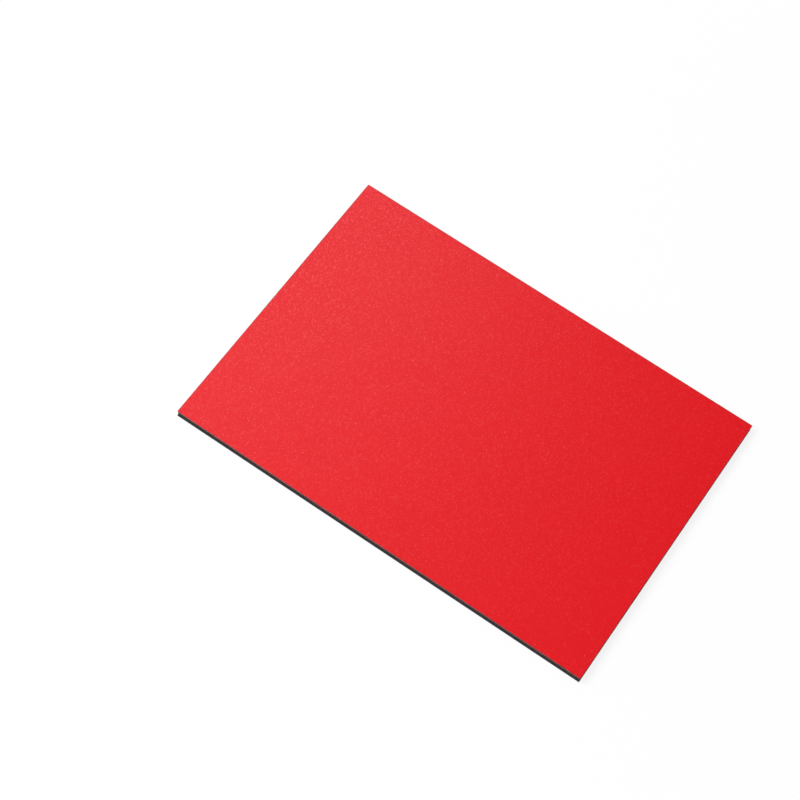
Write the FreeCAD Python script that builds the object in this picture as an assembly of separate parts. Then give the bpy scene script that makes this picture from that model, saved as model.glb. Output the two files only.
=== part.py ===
# Flat aluminium composite panel, cut to a small square-cornered sheet and lying on its back.
# Two thin coated aluminium skins are bonded to a black polyethylene core, face to face.
# Millimetres. The origin is the middle of the back face, +X runs along the length,
# +Y along the width, and +Z up through the layers to the coloured front face.
import FreeCAD
import Part
import os

# Sheet
panel_length = 148.0
panel_width = 105.0
front_skin_thickness = 0.21
core_thickness = 2.58
back_skin_thickness = 0.21

# Cut edge: the skins keep a crisp edge, and the softer core springs back behind them
corner_radius = 0.25       # in plan, at the four corners, which are eased so that they don't scratch
front_rim_radius = 0.09    # on the front face, where the blade enters and turns the coat over
back_rim_radius = 0.05     # on the back face, where the blade leaves
core_setback = 0.06        # from the edge of the skins to the core, along each bond line
core_hollow = 0.12         # from there in to the deepest line of the core's curved edge

# Heights of the layers, from the back face up
core_bottom = back_skin_thickness
core_top = core_bottom + core_thickness
front_face = core_top + front_skin_thickness


def is_level(edge, height):
    """True for an edge that lies at one height all along."""
    return all(abs(vertex.Z - height) < 1e-6 for vertex in edge.Vertexes)


def is_upright(edge):
    """True for an edge that joins two heights."""
    return abs(edge.Vertexes[0].Z - edge.Vertexes[-1].Z) > 1e-6


def plate(inset, bottom, thickness, radius):
    """Level plate with rounded corners, set in from the panel's outline all round."""
    length = panel_length - 2 * inset
    width = panel_width - 2 * inset
    corner = FreeCAD.Vector(-length / 2, -width / 2, bottom)
    block = Part.makeBox(length, width, thickness, corner)
    return block.makeFillet(radius, [edge for edge in block.Edges if is_upright(edge)])


def skin(bottom, thickness, face_height, rim_radius):
    """One aluminium skin, with the rim of its coated face turned over all round by the cut."""
    sheet = plate(0, bottom, thickness, corner_radius)
    rim = [edge for edge in sheet.Edges if is_level(edge, face_height)]
    return sheet.makeFillet(rim_radius, rim)


def slab_with_hollow_ends(reach, side, along):
    """Slab of the core's height: its ends, at reach, curve inwards, and its plain sides lie at side.

    along is the direction of the reach, +X or +Y.
    """
    across = FreeCAD.Vector(along.y, along.x, 0)
    start = across * -side
    middle_height = (core_bottom + core_top) / 2

    def point(distance, height):
        return start + along * distance + FreeCAD.Vector(0, 0, height)

    def hollow_end(end, low, high):
        """Curved end of the section, drawn in at mid height."""
        deepest = end * (1 - core_hollow / reach)
        return Part.Arc(point(end, low), point(deepest, middle_height), point(end, high)).toShape()

    section = Part.Wire([
        Part.makeLine(point(-reach, core_bottom), point(reach, core_bottom)),
        hollow_end(reach, core_bottom, core_top),
        Part.makeLine(point(reach, core_top), point(-reach, core_top)),
        hollow_end(-reach, core_top, core_bottom),
    ])
    return Part.Face(section).extrude(across * (2 * side))


def core():
    """Polyethylene core: its edges curve inwards on all four sides and meet in a mitre at each corner."""
    half_length = panel_length / 2 - core_setback
    half_width = panel_width / 2 - core_setback
    hollow_in_length = slab_with_hollow_ends(half_length, half_width, FreeCAD.Vector(1, 0, 0))
    hollow_in_width = slab_with_hollow_ends(half_width, half_length, FreeCAD.Vector(0, 1, 0))
    outline = plate(core_setback, core_bottom, core_thickness, corner_radius)
    return hollow_in_length.common(hollow_in_width).common(outline)


pieces = {
    "front_skin": skin(core_top, front_skin_thickness, front_face, front_rim_radius),
    "polyethylene_core": core(),
    "back_skin": skin(0, back_skin_thickness, 0, back_rim_radius),
}

os.makedirs("parts", exist_ok=True)
for name, shape in pieces.items():
    shape.Solids[0].exportStep("parts/" + name + ".step")
    print(name, "solids", len(shape.Solids), "valid", shape.isValid(), "volume", round(shape.Volume, 3))
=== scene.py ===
import math

import bmesh
import bpy
from mathutils import Matrix, Vector, noise


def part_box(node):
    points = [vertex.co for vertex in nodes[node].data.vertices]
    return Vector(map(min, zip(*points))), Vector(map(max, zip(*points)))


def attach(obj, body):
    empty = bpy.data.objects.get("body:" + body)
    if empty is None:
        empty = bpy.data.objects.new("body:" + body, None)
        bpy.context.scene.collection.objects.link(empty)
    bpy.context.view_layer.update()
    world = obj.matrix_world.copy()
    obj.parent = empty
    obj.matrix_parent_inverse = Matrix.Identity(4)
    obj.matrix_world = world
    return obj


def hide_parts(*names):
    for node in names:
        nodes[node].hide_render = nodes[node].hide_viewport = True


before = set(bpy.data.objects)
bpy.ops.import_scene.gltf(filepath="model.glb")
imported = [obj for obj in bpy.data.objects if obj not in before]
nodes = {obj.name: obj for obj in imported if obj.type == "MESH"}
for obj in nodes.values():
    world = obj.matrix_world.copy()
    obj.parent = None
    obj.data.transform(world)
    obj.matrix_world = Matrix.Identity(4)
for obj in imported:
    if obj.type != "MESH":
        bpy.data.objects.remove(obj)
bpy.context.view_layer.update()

mm = 0.001
scene = bpy.context.scene
frontLow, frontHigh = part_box("front_skin")
coreLow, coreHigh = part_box("polyethylene_core")
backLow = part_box("back_skin")[0]
print("frame loaded:", ", ".join(sorted(nodes)))

# sockets of a Mix node, told by number because its number, vector and colour sockets share their names
mixFactor = 0
numberA, numberB, numberResult = 2, 3, 0
vectorA, vectorB, vectorResult = 4, 5, 1
colourA, colourB, colourResult = 6, 7, 2

# a noise texture seldom leaves this range, so a shade is spread over it
noiseLow, noiseHigh = 0.3, 0.7


def linear(hexColour):
    # sRGB hex to the linear colour that shader sockets take
    channels = [int(hexColour[i:i + 2], 16) / 255 for i in (1, 3, 5)]
    return tuple(c / 12.92 if c <= 0.04045 else ((c + 0.055) / 1.055) ** 2.4 for c in channels) + (1.0,)


def addNode(tree, kind, inputs, **settings):
    # adds one shader node: inputs holds plain values and the sockets that feed it
    node = tree.nodes.new(kind)
    for name, value in settings.items():
        setattr(node, name, value)
    for socket, value in inputs.items():
        if isinstance(value, bpy.types.NodeSocket):
            tree.links.new(value, node.inputs[socket])
        else:
            node.inputs[socket].default_value = value
    return node


def newMaterial(name):
    # an empty material, its node tree, and the place on the piece that every pattern follows
    material = bpy.data.materials.new(name)
    material.use_nodes = True
    tree = material.node_tree
    tree.nodes.clear()
    place = addNode(tree, "ShaderNodeTexCoord", {}).outputs["Object"]
    return material, tree, place


def closeMaterial(tree, surface):
    # each material of the panel ends with this one shader
    shader = addNode(tree, "ShaderNodeBsdfPrincipled", surface)
    addNode(tree, "ShaderNodeOutputMaterial", {"Surface": shader.outputs["BSDF"]})


def dress(thing, material):
    thing.data.materials.clear()
    thing.data.materials.append(material)


def newObject(name, data):
    thing = bpy.data.objects.new(name, data)
    scene.collection.objects.link(thing)
    return thing


def meshObject(name, shape):
    # turns a finished bmesh into an object
    mesh = bpy.data.meshes.new(name)
    shape.to_mesh(mesh)
    shape.free()
    return newObject(name, mesh)


# Red polyester coil coat, rolled on and cured in an oven: an even semi-gloss red
# with a very fine orange peel and scattered flakes that catch the light; their paler colour is partly
# painted glint
redCoat = {
    "red": "#e10a17",
    "deepRed": "#dd0916",
    # the flakes' paler colours are partly their own and partly a painted glint
    "flake": "#ff141e",
    "bigFlake": "#ffb3ab",
    "roughness": 0.36,
    "reach": 0.1 * mm,         # how far down from the face the coat covers the rolled rim
    "cloudSize": 22 * mm,      # slow drift of the shade along the coil
    "grainSize": 0.2 * mm,     # pigment grain, drawn coarser than the real one, so that it shows
    "grainShade": 0.012,       # how much of the light the grain takes away
    "flakeSpacing": 0.34 * mm, # mica flakes, also drawn coarser than the real ones
    "flakeRoughness": 0.29,
    "flakeIor": 1.57,
    # how far a flake turns to the paler red: partly its own colour, partly a painted glint
    "flakeTintAndGlint": 0.18,
    "flakeTilt": 0.06,
    "flakeLuck": 6.5,          # a high power leaves most flakes faint and a few bright
    "bigSpacing": 2.2 * mm,    # the few big flakes that stand out one by one
    "bigRadius": 0.24 * mm,
    "bigMiddle": 0.4,          # share of the radius inside which a big flake has its full strength
    # how far a big flake turns pale pink: partly its own colour, partly a painted glint
    "bigFlakeTintAndGlint": 0.2,
    "bigLuck": 3.0,
    "peelSize": 1.1 * mm,
    "peelHeight": 0.0012 * mm,
    "rimWidth": 0.35 * mm,     # width of the painted shade that darkens the coat along the cut edge
    "paintedRimShade": 0.5,
}


def paintedRimShadeNode(tree, place):
    # 1 on the face, falling to the painted shade along the outline
    halfSize = (frontHigh - frontLow) / 2
    fromMiddle = addNode(tree, "ShaderNodeVectorMath", {0: place}, operation="ABSOLUTE")
    gap = addNode(tree, "ShaderNodeVectorMath", {0: halfSize, 1: fromMiddle.outputs[0]},
                  operation="SUBTRACT")
    gapParts = addNode(tree, "ShaderNodeSeparateXYZ", {0: gap.outputs[0]})
    nearest = addNode(tree, "ShaderNodeMath", {0: gapParts.outputs["X"], 1: gapParts.outputs["Y"]},
                      operation="MINIMUM")
    shade = addNode(tree, "ShaderNodeMapRange",
                    {"Value": nearest.outputs[0], "From Max": redCoat["rimWidth"],
                     "To Min": redCoat["paintedRimShade"]}, interpolation_type="SMOOTHSTEP")
    return shade.outputs["Result"]


def redCoatLook(tree, place):
    # colour, metallic, roughness, normal and the flakes' shine on the front face
    clouds = addNode(tree, "ShaderNodeTexNoise",
                     {"Vector": place, "Scale": 1 / redCoat["cloudSize"], "Detail": 2.0})
    ground = addNode(tree, "ShaderNodeMix",
                     {mixFactor: clouds.outputs["Fac"], colourA: linear(redCoat["red"]),
                      colourB: linear(redCoat["deepRed"])}, data_type="RGBA")
    grain = addNode(tree, "ShaderNodeTexNoise",
                    {"Vector": place, "Scale": 1 / redCoat["grainSize"], "Detail": 1.0})
    grainShade = addNode(tree, "ShaderNodeMapRange",
                         {"Value": grain.outputs["Fac"], "From Min": noiseLow, "From Max": noiseHigh,
                          "To Min": 1 - redCoat["grainShade"]})
    grained = addNode(tree, "ShaderNodeMix",
                      {mixFactor: 1.0, colourA: ground.outputs[colourResult],
                       colourB: grainShade.outputs["Result"]}, data_type="RGBA", blend_type="MULTIPLY")

    # each cell is one flake, and its colour channels give its own tilt and how strongly it shows
    cells = addNode(tree, "ShaderNodeTexVoronoi",
                    {"Vector": place, "Scale": 1 / redCoat["flakeSpacing"]}, voronoi_dimensions="2D")
    luck = addNode(tree, "ShaderNodeSeparateColor", {"Color": cells.outputs["Color"]})
    flake = addNode(tree, "ShaderNodeMath", {0: luck.outputs["Blue"], 1: redCoat["flakeLuck"]},
                    operation="POWER").outputs[0]
    # a flake's paler red, partly its own colour and partly painted glint
    paleFlakeAndGlint = addNode(tree, "ShaderNodeMath", {0: flake, 1: redCoat["flakeTintAndGlint"]}, operation="MULTIPLY")
    flaked = addNode(tree, "ShaderNodeMix",
                     {mixFactor: paleFlakeAndGlint.outputs[0], colourA: grained.outputs[colourResult],
                      colourB: linear(redCoat["flake"])}, data_type="RGBA")

    # a big flake is a round spot in the middle of its cell
    bigCells = addNode(tree, "ShaderNodeTexVoronoi",
                       {"Vector": place, "Scale": 1 / redCoat["bigSpacing"]}, voronoi_dimensions="2D")
    radius = redCoat["bigRadius"] / redCoat["bigSpacing"]
    spot = addNode(tree, "ShaderNodeMapRange",
                   {"Value": bigCells.outputs["Distance"], "From Min": radius,
                    "From Max": radius * redCoat["bigMiddle"]})
    bigLuck = addNode(tree, "ShaderNodeSeparateColor", {"Color": bigCells.outputs["Color"]})
    strength = addNode(tree, "ShaderNodeMath", {0: bigLuck.outputs["Blue"], 1: redCoat["bigLuck"]},
                       operation="POWER")
    bigFlake = addNode(tree, "ShaderNodeMath", {0: spot.outputs["Result"], 1: strength.outputs[0]},
                       operation="MULTIPLY").outputs[0]
    # the big flake's pale pink spot, partly its own colour and partly painted glint
    bigFlakeTintAndGlint = addNode(tree, "ShaderNodeMath", {0: bigFlake, 1: redCoat["bigFlakeTintAndGlint"]}, operation="MULTIPLY")
    spotted = addNode(tree, "ShaderNodeMix",
                      {mixFactor: bigFlakeTintAndGlint.outputs[0], colourA: flaked.outputs[colourResult],
                       colourB: linear(redCoat["bigFlake"])}, data_type="RGBA")
    # painted shade: the coat's colour darkens along the outline
    rimmed = addNode(tree, "ShaderNodeMix",
                     {mixFactor: 1.0, colourA: spotted.outputs[colourResult],
                      colourB: paintedRimShadeNode(tree, place)}, data_type="RGBA", blend_type="MULTIPLY")
    shine = addNode(tree, "ShaderNodeMath", {0: flake, 1: bigFlake}, operation="MAXIMUM")

    # orange peel, and each flake lying at its own small angle
    peel = addNode(tree, "ShaderNodeTexNoise",
                   {"Vector": place, "Scale": 1 / redCoat["peelSize"], "Detail": 1.0})
    peeled = addNode(tree, "ShaderNodeBump",
                     {"Distance": redCoat["peelHeight"], "Height": peel.outputs["Fac"]})
    lean = addNode(tree, "ShaderNodeVectorMath", {0: cells.outputs["Color"], 1: (0.5, 0.5, 0.5)},
                   operation="SUBTRACT")
    tilt = addNode(tree, "ShaderNodeMath", {0: flake, 1: redCoat["flakeTilt"]}, operation="MULTIPLY")
    leaning = addNode(tree, "ShaderNodeVectorMath", {0: lean.outputs[0], "Scale": tilt.outputs[0]},
                      operation="SCALE")
    tilted = addNode(tree, "ShaderNodeVectorMath", {0: peeled.outputs["Normal"], 1: leaning.outputs[0]},
                     operation="ADD")
    normal = addNode(tree, "ShaderNodeVectorMath", {0: tilted.outputs[0]}, operation="NORMALIZE")
    return {"colour": rimmed.outputs[colourResult], "metallic": 0.0, "roughness": redCoat["roughness"],
            "normal": normal.outputs[0], "shine": shine.outputs[0]}


# Thin clear-grey service coat on the back: dull silver, with the rolling lines of the sheet showing through
backCoat = {
    "silver": "#c1c4c4",
    "shade": "#aeb1b2",
    "metallic": (0.5, 0.6),    # these pairs hold the value in a line's hollow and on its crest
    "roughness": (0.32, 0.48),
    "reach": 0.06 * mm,        # how far up from the back face the coat covers the rolled rim
    "cloudShade": 0.06,        # slow, blotchy change of the thin coat
    "cloudSize": 16 * mm,
    "lineSpacing": 0.3 * mm,   # drawn coarser than the real lines, so that they show
    "lineStretch": 0.006,      # draws the lines out along the length
    "lineTurn": 0.0009,        # radians off the length, as a blank is never cut quite true to the coil
    "lineShift": 0.43,         # in line spacings, keeps the face off the noise's own even layers
    "lineDepth": 0.0004 * mm,
}


def backCoatLook(tree, place):
    # colour, metallic, roughness and normal of the back face
    along = addNode(tree, "ShaderNodeMapping",
                    {"Vector": place,
                     "Location": (0.0, 0.0, backCoat["lineShift"] * backCoat["lineSpacing"]),
                     "Rotation": (0.0, 0.0, backCoat["lineTurn"]),
                     "Scale": (backCoat["lineStretch"], 1.0, 1.0)})
    lines = addNode(tree, "ShaderNodeTexNoise",
                    {"Vector": along.outputs[0], "Scale": 1 / backCoat["lineSpacing"], "Detail": 5.0,
                     "Roughness": 0.7})
    lined = addNode(tree, "ShaderNodeMix",
                    {mixFactor: lines.outputs["Fac"], colourA: linear(backCoat["silver"]),
                     colourB: linear(backCoat["shade"])}, data_type="RGBA")
    clouds = addNode(tree, "ShaderNodeTexNoise",
                     {"Vector": place, "Scale": 1 / backCoat["cloudSize"], "Detail": 3.0})
    cloudShade = addNode(tree, "ShaderNodeMapRange",
                         {"Value": clouds.outputs["Fac"], "From Min": noiseLow, "From Max": noiseHigh,
                          "To Min": 1 - backCoat["cloudShade"]})
    clouded = addNode(tree, "ShaderNodeMix",
                      {mixFactor: 1.0, colourA: lined.outputs[colourResult],
                       colourB: cloudShade.outputs["Result"]}, data_type="RGBA", blend_type="MULTIPLY")
    metallic = addNode(tree, "ShaderNodeMapRange",
                       {"Value": lines.outputs["Fac"], "To Min": backCoat["metallic"][0],
                        "To Max": backCoat["metallic"][1]})
    roughness = addNode(tree, "ShaderNodeMapRange",
                        {"Value": lines.outputs["Fac"], "To Min": backCoat["roughness"][0],
                         "To Max": backCoat["roughness"][1]})
    bump = addNode(tree, "ShaderNodeBump",
                   {"Distance": backCoat["lineDepth"], "Height": lines.outputs["Fac"]})
    return {"colour": clouded.outputs[colourResult], "metallic": metallic.outputs["Result"],
            "roughness": roughness.outputs["Result"], "normal": bump.outputs["Normal"]}


# Aluminium alloy 3105 bared by the cut at the edge of both skins: a line of grey metal,
# dulled by fine marks that run straight through the thickness
cutMetal = {
    "bright": "#a6a8ab",
    "smeared": "#6c6d70",      # where the blade dragged the core's plastic over it
    "roughness": 0.45,
    "markSize": 0.3 * mm,      # drawn coarser than the real marks, so that they show
    "markStretch": 0.15,       # draws the marks out through the thickness
    "markDepth": 0.006 * mm,
    "raggedSize": 0.5 * mm,    # the coat ends in small waves along the cut
    "raggedDepth": 0.03 * mm,
    "coatFade": 0.015 * mm,
}


def coatedSkin(name, coatLook, faceHeight, reach):
    # the coat covers the face and the rolled rim, and the cut below it is bare metal
    material, tree, place = newMaterial(name)
    height = addNode(tree, "ShaderNodeSeparateXYZ", {0: place}).outputs["Z"]
    gap = addNode(tree, "ShaderNodeMath", {0: height, 1: faceHeight}, operation="SUBTRACT")
    depth = addNode(tree, "ShaderNodeMath", {0: gap.outputs[0]}, operation="ABSOLUTE")
    ragged = addNode(tree, "ShaderNodeTexNoise",
                     {"Vector": place, "Scale": 1 / cutMetal["raggedSize"], "Detail": 3.0})
    uneven = addNode(tree, "ShaderNodeMath",
                     {0: ragged.outputs["Fac"], 1: cutMetal["raggedDepth"], 2: depth.outputs[0]},
                     operation="MULTIPLY_ADD")
    bare = addNode(tree, "ShaderNodeMapRange",
                   {"Value": uneven.outputs[0], "From Min": reach,
                    "From Max": reach + cutMetal["coatFade"]}).outputs["Result"]

    upright = addNode(tree, "ShaderNodeMapping",
                      {"Vector": place, "Scale": (1.0, 1.0, cutMetal["markStretch"])})
    marks = addNode(tree, "ShaderNodeTexNoise",
                    {"Vector": upright.outputs[0], "Scale": 1 / cutMetal["markSize"], "Detail": 4.0})
    metal = addNode(tree, "ShaderNodeMix",
                    {mixFactor: marks.outputs["Fac"], colourA: linear(cutMetal["smeared"]),
                     colourB: linear(cutMetal["bright"])}, data_type="RGBA")
    scored = addNode(tree, "ShaderNodeBump",
                     {"Distance": cutMetal["markDepth"], "Height": marks.outputs["Fac"]})

    look = coatLook(tree, place)
    colour = addNode(tree, "ShaderNodeMix",
                     {mixFactor: bare, colourA: look["colour"], colourB: metal.outputs[colourResult]},
                     data_type="RGBA")
    metallic = addNode(tree, "ShaderNodeMix", {mixFactor: bare, numberA: look["metallic"], numberB: 1.0})
    roughness = addNode(tree, "ShaderNodeMix",
                        {mixFactor: bare, numberA: look["roughness"], numberB: cutMetal["roughness"]})
    normal = addNode(tree, "ShaderNodeMix",
                     {mixFactor: bare, vectorA: look["normal"], vectorB: scored.outputs["Normal"]},
                     data_type="VECTOR")
    surface = {"Base Color": colour.outputs[colourResult], "Metallic": metallic.outputs[numberResult],
               "Roughness": roughness.outputs[numberResult], "Normal": normal.outputs[vectorResult]}

    # the red coat's flakes shine as a clear coat that only they have
    if "shine" in look:
        shine = addNode(tree, "ShaderNodeMix", {mixFactor: bare, numberA: look["shine"], numberB: 0.0})
        surface["Coat Weight"] = shine.outputs[numberResult]
        surface["Coat Roughness"] = redCoat["flakeRoughness"]
        surface["Coat IOR"] = redCoat["flakeIor"]
    closeMaterial(tree, surface)
    return material


# Low-density polyethylene, black with carbon and sawn with the skins: charcoal, dull,
# streaked paler where the teeth dragged it
core = {
    "black": "#120d0d",
    "streak": "#3a3434",
    "streakShare": (0.42, 0.75), # noise values at which a streak begins and is at its palest
    "roughness": (0.45, 0.8),    # between the streaks and on them
    "shine": 0.16,               # a third of moulded plastic's 0.5, because the surface is torn
    "streakSize": 0.45 * mm,     # drawn coarser than the real streaks, so that they show
    "streakStretch": 0.12,       # draws the streaks out through the thickness
    "streakDepth": 0.02 * mm,
    "cornerRadius": 0.19 * mm,
    "cornerSegments": 3,
    "columnWidth": 0.15 * mm,    # the mesh's own step round the edge
    "rows": 8,                   # and its rows from skin to skin
    "hollow": 0.12 * mm,         # the soft plastic springs back between the skins as the saw passes
    "toothPitch": 0.7 * mm,      # drawn coarser than the real marks, so that they show
    "toothDepth": 0.03 * mm,
    "toothSlant": 0.3,           # the marks curve a little, as a round blade leaves them
    "toothDrift": 0.4,           # how much a mark changes on its way from skin to skin
    "strokePitch": 4.5 * mm,     # slow swing of the blade
    "strokeDepth": 0.03 * mm,
    "strokeSlice": 7.0,          # the swing and the teeth read the noise at different depths
    "sideShift": 1000 * mm,      # moves each side on in the noise, so that no two are alike
}


def blackPolyethylene():
    material, tree, place = newMaterial("black_polyethylene_sawn")
    upright = addNode(tree, "ShaderNodeMapping",
                      {"Vector": place, "Scale": (1.0, 1.0, core["streakStretch"])})
    streaks = addNode(tree, "ShaderNodeTexNoise",
                      {"Vector": upright.outputs[0], "Scale": 1 / core["streakSize"], "Detail": 5.0,
                       "Roughness": 0.6})
    paleness = addNode(tree, "ShaderNodeMapRange",
                       {"Value": streaks.outputs["Fac"], "From Min": core["streakShare"][0],
                        "From Max": core["streakShare"][1]})
    colour = addNode(tree, "ShaderNodeMix",
                     {mixFactor: paleness.outputs["Result"], colourA: linear(core["black"]),
                      colourB: linear(core["streak"])}, data_type="RGBA")
    roughness = addNode(tree, "ShaderNodeMapRange",
                        {"Value": streaks.outputs["Fac"], "To Min": core["roughness"][0],
                         "To Max": core["roughness"][1]})
    bump = addNode(tree, "ShaderNodeBump",
                   {"Distance": core["streakDepth"], "Height": streaks.outputs["Fac"]})
    closeMaterial(tree, {"Base Color": colour.outputs[colourResult],
                         "Roughness": roughness.outputs["Result"], "Specular IOR Level": core["shine"],
                         "Normal": bump.outputs["Normal"]})
    return material


def edgesAlong(shape, axis, size):
    # the edges that run nearly the whole size along one axis
    return [edge for edge in shape.edges
            if abs(edge.verts[0].co[axis] - edge.verts[1].co[axis]) > size[axis] / 2]


def sawDepthAt(along, height, level):
    # depth of the sawn side at one point: the hollow, the swing of the blade and its tooth marks;
    # level is -1 at the back skin and 1 at the front skin, where all of them end
    curved = along + core["toothSlant"] * level * (height - frontLow.z)
    tooth = noise.noise(Vector((curved / core["toothPitch"], level * core["toothDrift"], 0.0)))
    stroke = noise.noise(Vector((along / core["strokePitch"], 0.0, core["strokeSlice"])))
    marks = core["toothDepth"] * (1 + tooth) / 2 + core["strokeDepth"] * (1 + stroke) / 2
    return core["hollow"] * (1 - level ** 2) + marks * (1 - level ** 4)


def keepOrder(shape):
    # bmesh's operators leave a few faces in another order from run to run, so it is set here:
    # the points by their place, the edges and faces by their points
    def pointsOf(part):
        return sorted(vert.index for vert in part.verts)

    for parts, key in ((shape.verts, lambda vert: vert.co[:]),
                       (shape.edges, pointsOf), (shape.faces, pointsOf)):
        for index, part in enumerate(sorted(parts, key=key)):
            part.index = index
        parts.sort()


def sawnCore(plastic):
    size = coreHigh - coreLow
    shape = bmesh.new()
    bmesh.ops.create_cube(shape, size=1.0)
    bmesh.ops.scale(shape, vec=size, verts=shape.verts)
    bmesh.ops.translate(shape, vec=(coreHigh + coreLow) / 2, verts=shape.verts)
    flats = [face for face in shape.faces if abs(face.normal.z) > 0.5]
    bmesh.ops.delete(shape, geom=flats, context="FACES_ONLY")
    bmesh.ops.bevel(shape, geom=edgesAlong(shape, 2, size), offset=core["cornerRadius"],
                    offset_type="OFFSET", affect="EDGES", segments=core["cornerSegments"],
                    profile=0.5, material=-1)
    for axis in (0, 1):
        columns = round(size[axis] / core["columnWidth"])
        bmesh.ops.subdivide_edges(shape, edges=edgesAlong(shape, axis, size), cuts=columns,
                                  use_grid_fill=True)
    bmesh.ops.subdivide_edges(shape, edges=edgesAlong(shape, 2, size), cuts=core["rows"] - 1,
                              use_grid_fill=True)

    # saw the four sides
    shape.normal_update()
    for vert in shape.verts:
        out = Vector((vert.normal.x, vert.normal.y, 0)).normalized()
        level = 2 * (vert.co.z - coreLow.z) / size.z - 1
        along = vert.co.y * out.x - vert.co.x * out.y + core["sideShift"] * (out.x + out.y / 2)
        vert.co -= out * sawDepthAt(along, vert.co.z, level)
    for face in shape.faces:
        face.smooth = True

    # close it again where it meets the skins, with a sharp edge there
    rims = [edge for edge in shape.edges if edge.is_boundary]
    bmesh.ops.holes_fill(shape, edges=rims, sides=0)
    for edge in rims:
        edge.smooth = False
    bmesh.ops.recalc_face_normals(shape, faces=shape.faces)
    keepOrder(shape)

    piece = meshObject("sawn_core", shape)
    dress(piece, plastic)
    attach(piece, "root")
    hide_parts("polyethylene_core")
    print("core sawn:", len(piece.data.polygons), "faces")


blackPlastic = blackPolyethylene()
dress(nodes["front_skin"],
      coatedSkin("red_coil_coat_on_aluminium", redCoatLook, frontHigh.z, redCoat["reach"]))
dress(nodes["back_skin"],
      coatedSkin("service_coat_on_aluminium", backCoatLook, backLow.z, backCoat["reach"]))
dress(nodes["polyethylene_core"], blackPlastic)
sawnCore(blackPlastic)
print("pieces dressed")


# Studio: a pale floor that turns into a white ground further out, under two soft boxes,
# in a room that is white low down and dim overhead
studio = {
    "white": "#ffffff",
    "floorSize": 24.0,
    "floorDrop": 0.02 * mm,    # keeps the floor clear of the back face
    "floorColour": "#f7f7f7",
    "fibreSize": 1.5 * mm,     # drawn coarser than real fibres, so that they show
    "fibreHeight": 0.02 * mm,
    "fibreStrength": 0.3,
    "shadowVeil": 0.87,        # how far the white ground already veils the shadow beside the panel
    "fadeFrom": 0.1,           # distances from the panel's middle over which the floor turns white
    "fadeTo": 0.35,
    "roomLow": 1.0,
    "roomTop": 0.01,
    "roomTurn": 0.4,           # height on the sky at which the room has become dim
}

softBoxes = {
    # weak, at the back left: its reflection is the pale bloom at the far left of the face
    "sheen_soft_box": {"place": (-0.85, 0.95, 1.45), "size": 0.9, "power": 4.85},
    # strong, at the front left: lights the face from where the camera doesn't see its reflection
    "main_soft_box": {"place": (-0.95, -0.6, 1.35), "size": 1.2, "power": 42.9},
}


def softBox(name, box):
    lamp = bpy.data.lights.new(name, "AREA")
    lamp.shape = "SQUARE"
    lamp.size = box["size"]
    lamp.energy = box["power"]
    holder = newObject(name, lamp)
    holder.location = box["place"]
    holder.rotation_euler = (-Vector(box["place"])).to_track_quat("-Z", "Y").to_euler()


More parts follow.
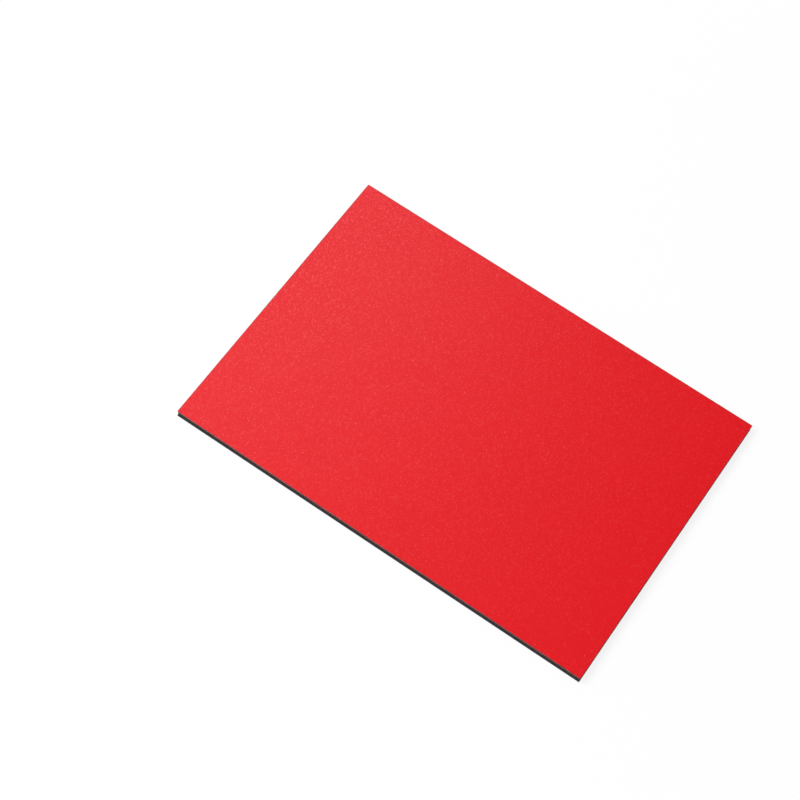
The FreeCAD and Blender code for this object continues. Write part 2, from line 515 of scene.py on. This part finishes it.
def paleFloor():
    shape = bmesh.new()
    bmesh.ops.create_grid(shape, x_segments=1, y_segments=1, size=studio["floorSize"] / 2)
    bmesh.ops.translate(shape, vec=(0, 0, -studio["floorDrop"]), verts=shape.verts)
    floor = meshObject("floor", shape)

    material, tree, place = newMaterial("white_paper_floor")
    fibres = addNode(tree, "ShaderNodeTexNoise",
                     {"Vector": place, "Scale": 1 / studio["fibreSize"], "Detail": 2.0})
    bump = addNode(tree, "ShaderNodeBump",
                   {"Strength": studio["fibreStrength"], "Distance": studio["fibreHeight"],
                    "Height": fibres.outputs["Fac"]})
    paper = addNode(tree, "ShaderNodeBsdfDiffuse",
                    {"Color": linear(studio["floorColour"]), "Normal": bump.outputs["Normal"]})

    # what the camera and reflections see turns white, and the light that bounces stays the paper's
    ground = addNode(tree, "ShaderNodeEmission", {"Color": linear(studio["white"]), "Strength": 1.0})
    reach = addNode(tree, "ShaderNodeVectorMath", {0: place}, operation="LENGTH")
    whiteness = addNode(tree, "ShaderNodeMapRange",
                        {"Value": reach.outputs["Value"], "From Min": studio["fadeFrom"],
                         "From Max": studio["fadeTo"], "To Min": studio["shadowVeil"]},
                        interpolation_type="SMOOTHSTEP")
    path = addNode(tree, "ShaderNodeLightPath", {})
    seen = addNode(tree, "ShaderNodeMath",
                   {0: path.outputs["Is Camera Ray"], 1: path.outputs["Is Glossy Ray"]},
                   operation="MAXIMUM")
    share = addNode(tree, "ShaderNodeMath", {0: whiteness.outputs["Result"], 1: seen.outputs[0]},
                    operation="MULTIPLY")
    top = addNode(tree, "ShaderNodeMixShader",
                  {0: share.outputs[0], 1: paper.outputs[0], 2: ground.outputs[0]})

    # clear from below, so that the back of the panel can be looked at
    clear = addNode(tree, "ShaderNodeBsdfTransparent", {})
    below = addNode(tree, "ShaderNodeNewGeometry", {}).outputs["Backfacing"]
    surface = addNode(tree, "ShaderNodeMixShader", {0: below, 1: top.outputs[0], 2: clear.outputs[0]})
    addNode(tree, "ShaderNodeOutputMaterial", {"Surface": surface.outputs[0]})
    dress(floor, material)


def room():
    world = bpy.data.worlds.new("room")
    scene.world = world
    world.use_nodes = True
    tree = world.node_tree
    tree.nodes.clear()
    way = addNode(tree, "ShaderNodeTexCoord", {}).outputs["Generated"]
    up = addNode(tree, "ShaderNodeSeparateXYZ", {0: way}).outputs["Z"]
    level = addNode(tree, "ShaderNodeMapRange",
                    {"Value": up, "From Min": 0.0, "From Max": studio["roomTurn"],
                     "To Min": studio["roomLow"], "To Max": studio["roomTop"]},
                    interpolation_type="SMOOTHSTEP")
    path = addNode(tree, "ShaderNodeLightPath", {})
    strength = addNode(tree, "ShaderNodeMix",
                       {mixFactor: path.outputs["Is Camera Ray"], numberA: level.outputs["Result"],
                        numberB: 1.0})
    light = addNode(tree, "ShaderNodeBackground",
                    {"Color": linear(studio["white"]), "Strength": strength.outputs[numberResult]})
    addNode(tree, "ShaderNodeOutputWorld", {"Surface": light.outputs[0]})


# Camera at the photo's viewing angle: above the near long edge, a little to the right, rolled
view = {
    "place": (103.2 * mm, -303.7 * mm, 603.9 * mm),
    "target": (-20.95 * mm, -7.64 * mm, 3.0 * mm),
    "roll": math.radians(12.642),
    "lens": 98.0,
    "sensor": 36.0,
    "clipStart": 0.01,
    "clipEnd": 50.0,
}


def camera():
    data = bpy.data.cameras.new("camera")
    data.lens = view["lens"]
    data.sensor_width = view["sensor"]
    data.clip_start = view["clipStart"]
    data.clip_end = view["clipEnd"]
    holder = newObject("camera", data)
    holder.location = view["place"]
    aim = (Vector(view["target"]) - Vector(view["place"])).to_track_quat("-Z", "Y")
    holder.rotation_euler = (aim.to_matrix().to_4x4() @ Matrix.Rotation(view["roll"], 4, "Z")).to_euler()
    scene.camera = holder


paleFloor()
room()
for name, box in softBoxes.items():
    softBox(name, box)
camera()
scene.view_settings.view_transform = "Standard"
print("studio lit")
